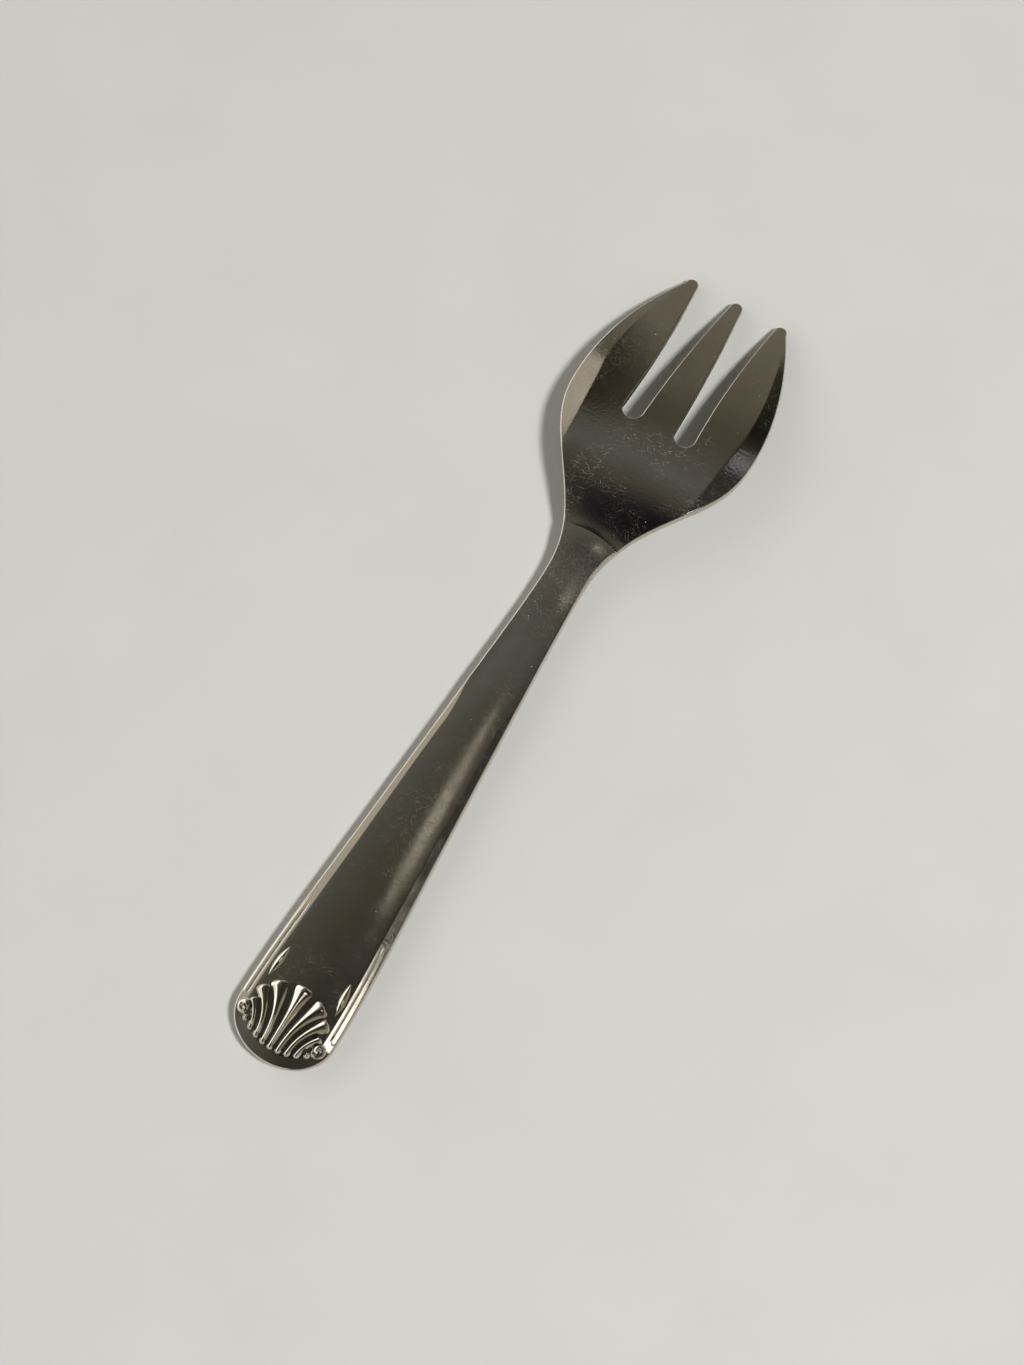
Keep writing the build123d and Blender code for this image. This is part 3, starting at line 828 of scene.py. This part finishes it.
def shellTree():
    kinds = {key: "Int" if key == "Ribs" else "Float" for key in shellFan}
    tree, add, given = newTree("shellFan", dict(Handle="Object", **kinds, Material="Material"))
    ball = add("GeometryNodeMeshUVSphere", ballMesh)
    one = add("GeometryNodeGeometryToInstance", (ball,))
    many = add("GeometryNodeDuplicateElements", {"Geometry": one, "Amount": given["Ribs"]}, None,
               domain="INSTANCE").outputs
    named = add("GeometryNodeStoreNamedAttribute", {
        "Geometry": many["Geometry"], "Name": "rib", "Value": many["Duplicate Index"]},
        data_type="FLOAT", domain="INSTANCE")
    solid = add("GeometryNodeRealizeInstances", (named,))
    rib = add("GeometryNodeInputNamedAttribute", {"Name": "rib"}, data_type="FLOAT")
    place = add("SeparateXYZ", (add("GeometryNodeInputPosition"),), None).outputs
    values = {key: given[key] for key in shellFan}
    values.update(rib=rib, ballX=place[0], ballY=place[1], ballZ=place[2])
    values.update(mm=mm, middle=middle, pi=math.pi, halfPi=math.pi / 2)
    for rule in ribRule:
        name, _, *words = rule.split()
        sign, terms = (words[0], words[1:]) if len(words) == 2 else ("".join(words[1::2]), words[::2])
        terms = [values[term] if term in values else float(term) for term in terms]
        values[name] = add("Math", terms, operation=mathSigns[sign])
    above = add("CombineXYZ", (values["xMetres"], values["dMetres"], seatRay["from"]))
    target = add("GeometryNodeObjectInfo", {"Object": given["Handle"]}, "Geometry")
    seat = add("GeometryNodeRaycast", {
        "Target Geometry": target, "Source Position": above, "Ray Direction": (0, 0, -1),
        "Ray Length": seatRay["length"]}, "Hit Position")
    up = add("CombineXYZ", (0.0, 0.0, values["standing"]))
    seat = add("VectorMath", (seat, up), operation="ADD")
    moved = add("GeometryNodeSetPosition", {"Geometry": solid, "Position": seat})
    finishTree(add, moved, given["Material"])
    return tree


def finishTree(add, shape, material):
    smooth = add("GeometryNodeSetShadeSmooth", (shape,))
    whole = add("GeometryNodeRealizeInstances", (smooth,))
    dressed = add("GeometryNodeSetMaterial", {"Geometry": whole, "Material": material})
    add("NodeGroupOutput", (dressed,), None)


ribs = runTree("shellRibs", shellTree(), bpy.data.meshes.new("shellRibs"),
               dict(shellFan, Handle=handle, Material=steelMaterial))
handOver(ribs, "shell_ribs")

# Threads, husks and scrolls: rounded beads that follow a path on the handle's back

ringMesh = {"Resolution": 20, "Radius": 1.0}


def beadTree():
    tree, add, given = newTree("bead", {
        "Path": "Geometry", "Flatness": "Float", "Ridge": "Float", "Material": "Material"})
    path = add("GeometryNodeMeshToCurve", (given["Path"],))
    path = add("GeometryNodeSetCurveNormal", (path,), mode="Z_UP")
    tilt, reach = (add("GeometryNodeInputNamedAttribute", {"Name": key}, data_type="FLOAT")
                   for key in ("tilt", "reach"))
    path = add("GeometryNodeSetCurveTilt", {"Curve": path, "Tilt": tilt})
    ring = add("GeometryNodeCurvePrimitiveCircle", ringMesh)
    spot = add("SeparateXYZ", (add("GeometryNodeInputPosition"),), None).outputs
    across = add("Math", (spot[0],), operation="ABSOLUTE")
    fall = add("Math", (across, given["Ridge"]), operation="POWER")
    rise = add("Math", (1.0, fall), operation="SUBTRACT", use_clamp=True)
    way = add("Math", (spot[1],), operation="SIGN")
    tall = add("Math", (way, given["Flatness"]), operation="MULTIPLY")
    tall = add("Math", (tall, rise), operation="MULTIPLY")
    section = add("CombineXYZ", (spot[0], tall))
    ring = add("GeometryNodeSetPosition", {"Geometry": ring, "Position": section})
    bead = add("GeometryNodeCurveToMesh", {
        "Curve": path, "Profile Curve": ring, "Scale": reach, "Fill Caps": True})
    finishTree(add, bead, given["Material"])
    return tree


def pathMesh(name, path, form):
    # path: rows of x, d and reach, laid on the handle's back on both sides of the fork
    x, d, reach = path.T
    z = handleTop(x, d) + form["lift"]
    count = len(path)
    points = np.vstack([toMetres(side * x, d, z) for side in (1, -1)])
    links = [(k, k + 1) for k in range(2 * count - 1) if k != count - 1]
    mesh = bpy.data.meshes.new(name)
    mesh.from_pydata([tuple(p) for p in points], links, [])
    tilt = np.repeat([1, -1], count) * math.radians(form["tilt"])
    for key, values in (("reach", np.tile(reach, 2) * mm), ("tilt", tilt)):
        mesh.attributes.new(key, "FLOAT", "POINT").data.foreach_set("value", values.astype(np.float32))
    return mesh


threadForm = {
    "from": 5.1, "to": 17.2, "inset": 0.37, "reach": 0.29, "points": 61, "flatness": 0.07, "ridge": 2.0,
    "tilt": 20.5, "lift": 0.0, "blunt": 0.3, "bluntLeast": 0.02, "taper": 5.0, "taperLeast": 0.1,
}
huskForm = {
    "low": (4.19, 7.94), "high": (3.84, 11.54), "reach": 0.42, "points": 31, "flatness": 0.7, "ridge": 1.3,
    "tilt": 0.0, "lift": 0.0, "fullness": 0.8, "least": 0.05,
}
scrollForm = {
    "middle": (4.6, 3.98), "outer": 0.72, "inner": 0.04, "turns": 1.0, "start": 215, "reach": (0.27, 0.62),
    "points": 61, "flatness": 0.72, "ridge": 1.5, "tilt": 0.0, "lift": 0.05, "blunt": 0.06,
    "bluntLeast": 0.05,
}


def threadPath(form):
    # along the handle's side, blunt at the shell and tapered at the other end
    d = np.linspace(form["from"], form["to"], form["points"])
    swell = np.sqrt(np.clip((d - form["from"]) / form["blunt"], form["bluntLeast"], 1))
    swell = swell * np.sqrt(np.clip((form["to"] - d) / form["taper"], form["taperLeast"], 1))
    return columns(handleHalf(d) - form["inset"], d, form["reach"] * swell)


def huskPath(form):
    # a straight stroke, pointed at both ends
    share = np.linspace(0, 1, form["points"])[:, None]
    reach = form["reach"] * np.clip(np.sin(math.pi * share) ** form["fullness"], form["least"], 1)
    return np.hstack([np.array(form["low"]) * (1 - share) + np.array(form["high"]) * share, reach])


def scrollPath(form):
    # a curl that thickens into a ball at its middle
    share = np.linspace(0, 1, form["points"])
    turn = np.radians(form["start"]) + 2 * math.pi * form["turns"] * share
    curl = form["outer"] + (form["inner"] - form["outer"]) * share
    reach = form["reach"][0] + (form["reach"][1] - form["reach"][0]) * share
    reach = reach * np.sqrt(np.clip(share / form["blunt"], form["bluntLeast"], 1))
    x, d = form["middle"]
    return columns(x + curl * np.cos(turn), d + curl * np.sin(turn), reach)


beads = beadTree()
for name, node, form, pathOf in (
        ("edgeThreads", "edge_threads", threadForm, threadPath),
        ("shellHusks", "shell_husks", huskForm, huskPath),
        ("shellScrolls", "shell_scrolls", scrollForm, scrollPath)):
    given = {"Flatness": form["flatness"], "Ridge": form["ridge"], "Material": steelMaterial}
    handOver(runTree(name, beads, pathMesh(name, pathOf(form), form), given), node)
print("shell and borders made")


# Studio: pale floor, a key lamp on the right, a broad panel on the left, and a dark ceiling over the camera.
# Polished steel shows what is round it, so the small lamps are there for the lights that it mirrors. Sizes
# are in metres.

lamps = {   # towards, away, size, watts and colour
    "key": ((0.50, 0.02, 0.866), 1.0, (0.16, 0.16), 7.4, "#fffefc"),
    "glint": ((0.552, -0.03, 0.834), 1.0, (0.15, 0.4), 0.5, "#fffaf0"),
    "panel": ((-0.755, 0.215, 0.62), 1.22, (1.1, 0.56), 0.98, "#f4ebdc"),
    "window": ((-0.93, -0.06, 0.33), 1.3, (2.8, 0.75), 7.8, "#fbfaf6"),
    "shine": ((-0.88, 0.22, 0.42), 1.25, (1.9, 0.7), 3.4, "#fffdf8"),
    "strip": ((0.004, 0.134, 0.99), 1.1, (0.105, 0.145), 0.019, "#f2ead9"),
    "spark": ((0.34, 0.52, 0.78), 1.0, (0.07, 0.07), 0.0032, "#eef2ff"),
    "card": ((0.94, -0.15, 0.30), 1.3, (2.2, 0.7), 2.0, "#e6d8be"),
    "front": ((-0.2, -0.88, 0.43), 1.2, (1.2, 0.5), 2.2, "#fdfaf3"),
}
lampTraits = {
    "unmirrored": ("key",), "level": ("strip",), "round": ("strip", "spark"),
    # lamps that light these pieces alone
    "only": {"shine": ("shellRibs", "shellScrolls", "shellHusks"), "strip": ("steelHandle", "steelNeck")},
}
studio = {
    "floorHalf": 6.0, "floorPale": "#d9d9d7", "floorGrey": "#d1d1cf", "floorMottle": 60.0, "floorRough": 0.6,
    "farFloor": "#cfcdc6", "floorFades": (0.25, 0.8),   # the far floor stays pale out of the lamps' reach
    "roomAxis": (0.05, -0.31, 0.95),    # towards the darkest part of the ceiling
    "room": ((0.0, "#b5b1aa"), (0.15, "#928c82"), (0.3, "#807a6e"), (0.45, "#726c5f"), (0.6, "#585347"),
             (0.76, "#6f6e6b"), (0.9, "#555248"), (0.97, "#2b252b"), (1.0, "#1e1a1e")),
    "darkSides": (      # towards, where it starts and is full, and the level left
        ((0.8, 0.25, 0.55), 0.62, 0.85, 0.3), ((0.0, 0.97, 0.24), 0.955, 0.98, 0.25),
        ((0.30, 0.75, 0.59), 0.962, 0.98, 0.22), ((-0.38, 0.57, 0.73), 0.972, 0.99, 0.3)),
    "horizon": "#efebe2", "horizonTop": 0.25, "horizonLevel": 0.4,
}


def makeFloor():
    # matt painted board: even and pale, with the faintest mottling
    material, add = newMaterial("mattPaintedBoard")
    s = studio
    coords = add("TexCoord", out="Object")
    mottle = add("TexNoise", {"Vector": coords, "Scale": s["floorMottle"], "Detail": 5.0})
    tones = {0: mottle, 6: linear(s["floorPale"]), 7: linear(s["floorGrey"])}
    tone = add("Mix", tones, 2, data_type="RGBA")
    board = add("BsdfPrincipled", {"Base Color": tone, "Roughness": s["floorRough"]})
    away = add("VectorMath", (coords,), "Value", operation="LENGTH")
    far = add("MapRange", (away, *s["floorFades"]), interpolation_type="SMOOTHSTEP")
    rays = add("LightPath", out=None).outputs
    seen = rays["Is Camera Ray"]
    for ray in ("Is Glossy Ray", "Is Transmission Ray"):
        seen = add("Math", (seen, rays[ray]), operation="MAXIMUM")
    share = add("Math", (far, seen), operation="MULTIPLY")
    pale = add("Emission", (linear(s["farFloor"]),))
    shader = add("MixShader", (share, board, pale))
    add("OutputMaterial", (shader,), None)
    return material


floorMesh = bpy.data.meshes.new("floor")
h = studio["floorHalf"]
floorMesh.from_pydata([(-h, -h, 0), (h, -h, 0), (h, h, 0), (-h, h, 0)], [], [(0, 1, 2, 3)])
floorMesh.materials.append(makeFloor())
floor = addObject("floor", floorMesh)

for name, (towards, away, size, watts, colour) in lamps.items():
    data = bpy.data.lights.new(name, "AREA")
    data.shape = "ELLIPSE" if name in lampTraits["round"] else "RECTANGLE"
    data.size, data.size_y = size
    data.energy = watts
    data.color = linear(colour)[:3]
    lamp = addObject(name, data)
    towards = Vector(towards).normalized()
    lamp.location = towards * away
    if name not in lampTraits["level"]:
        lamp.rotation_euler = towards.to_track_quat("Z", "Y").to_euler()
    lamp.visible_glossy = name not in lampTraits["unmirrored"]
    if name in lampTraits["only"]:
        lit = bpy.data.collections.new(name + "Only")
        for piece in lampTraits["only"][name]:
            lit.objects.link(bpy.data.objects[piece])
        lamp.light_linking.receiver_collection = lit


def makeRoom():
    # a room that darkens towards the ceiling over the camera, with darker sides and a pale horizon
    world = bpy.data.worlds.new("room")
    world.use_nodes = True
    world.node_tree.nodes.clear()
    add = partial(addNode, world.node_tree)
    s = studio
    towards = add("TexCoord", out="Generated")
    axis = Vector(s["roomAxis"]).normalized()
    near = add("VectorMath", (towards, axis), "Value", operation="DOT_PRODUCT")
    ramp = add("ValToRGB", (near,), None)
    elements = ramp.color_ramp.elements
    while len(elements) < len(s["room"]):
        elements.new(0.5)
    for element, (at, colour) in zip(elements, s["room"]):
        element.position = at
        element.color = linear(colour)
    room = ramp.outputs["Color"]
    for way, start, end, left in s["darkSides"]:
        axis = Vector(way).normalized()
        side = add("VectorMath", (towards, axis), "Value", operation="DOT_PRODUCT")
        level = add("MapRange", (side, start, end, 1.0, left))
        room = add("VectorMath", {0: room, "Scale": level}, operation="SCALE")
    height = add("SeparateXYZ", (towards,), "Z")
    horizon = add("MapRange", (height, 0.0, s["horizonTop"], s["horizonLevel"], 0.0),
                  interpolation_type="SMOOTHSTEP")
    glow = add("VectorMath", {0: linear(s["horizon"])[:3], "Scale": horizon}, operation="SCALE")
    sky = add("VectorMath", (room, glow), operation="ADD")
    background = add("Background", (sky,))
    add("OutputWorld", (background,), None)
    return world


bpy.context.scene.world = makeRoom()

# Camera as the photograph was taken: 50 mm on a 36 mm long side, about 0.21 m away; places in mm

view = {
    "from": (29.286, -48.590, 203.974), "at": (0.928, -1.868, 0.0), "lens": 50.0, "side": 36.0, "near": 10.0,
}
cameraData = bpy.data.cameras.new("camera")
cameraData.lens = view["lens"]
cameraData.sensor_width = view["side"]
cameraData.clip_start = view["near"] * mm
camera = addObject("camera", cameraData)
camera.location = Vector(view["from"]) * mm
camera.rotation_euler = (Vector(view["at"]) - Vector(view["from"])).to_track_quat("-Z", "Y").to_euler()
bpy.context.scene.camera = camera
bpy.context.scene.view_settings.view_transform = "Standard"
print("studio and camera made")
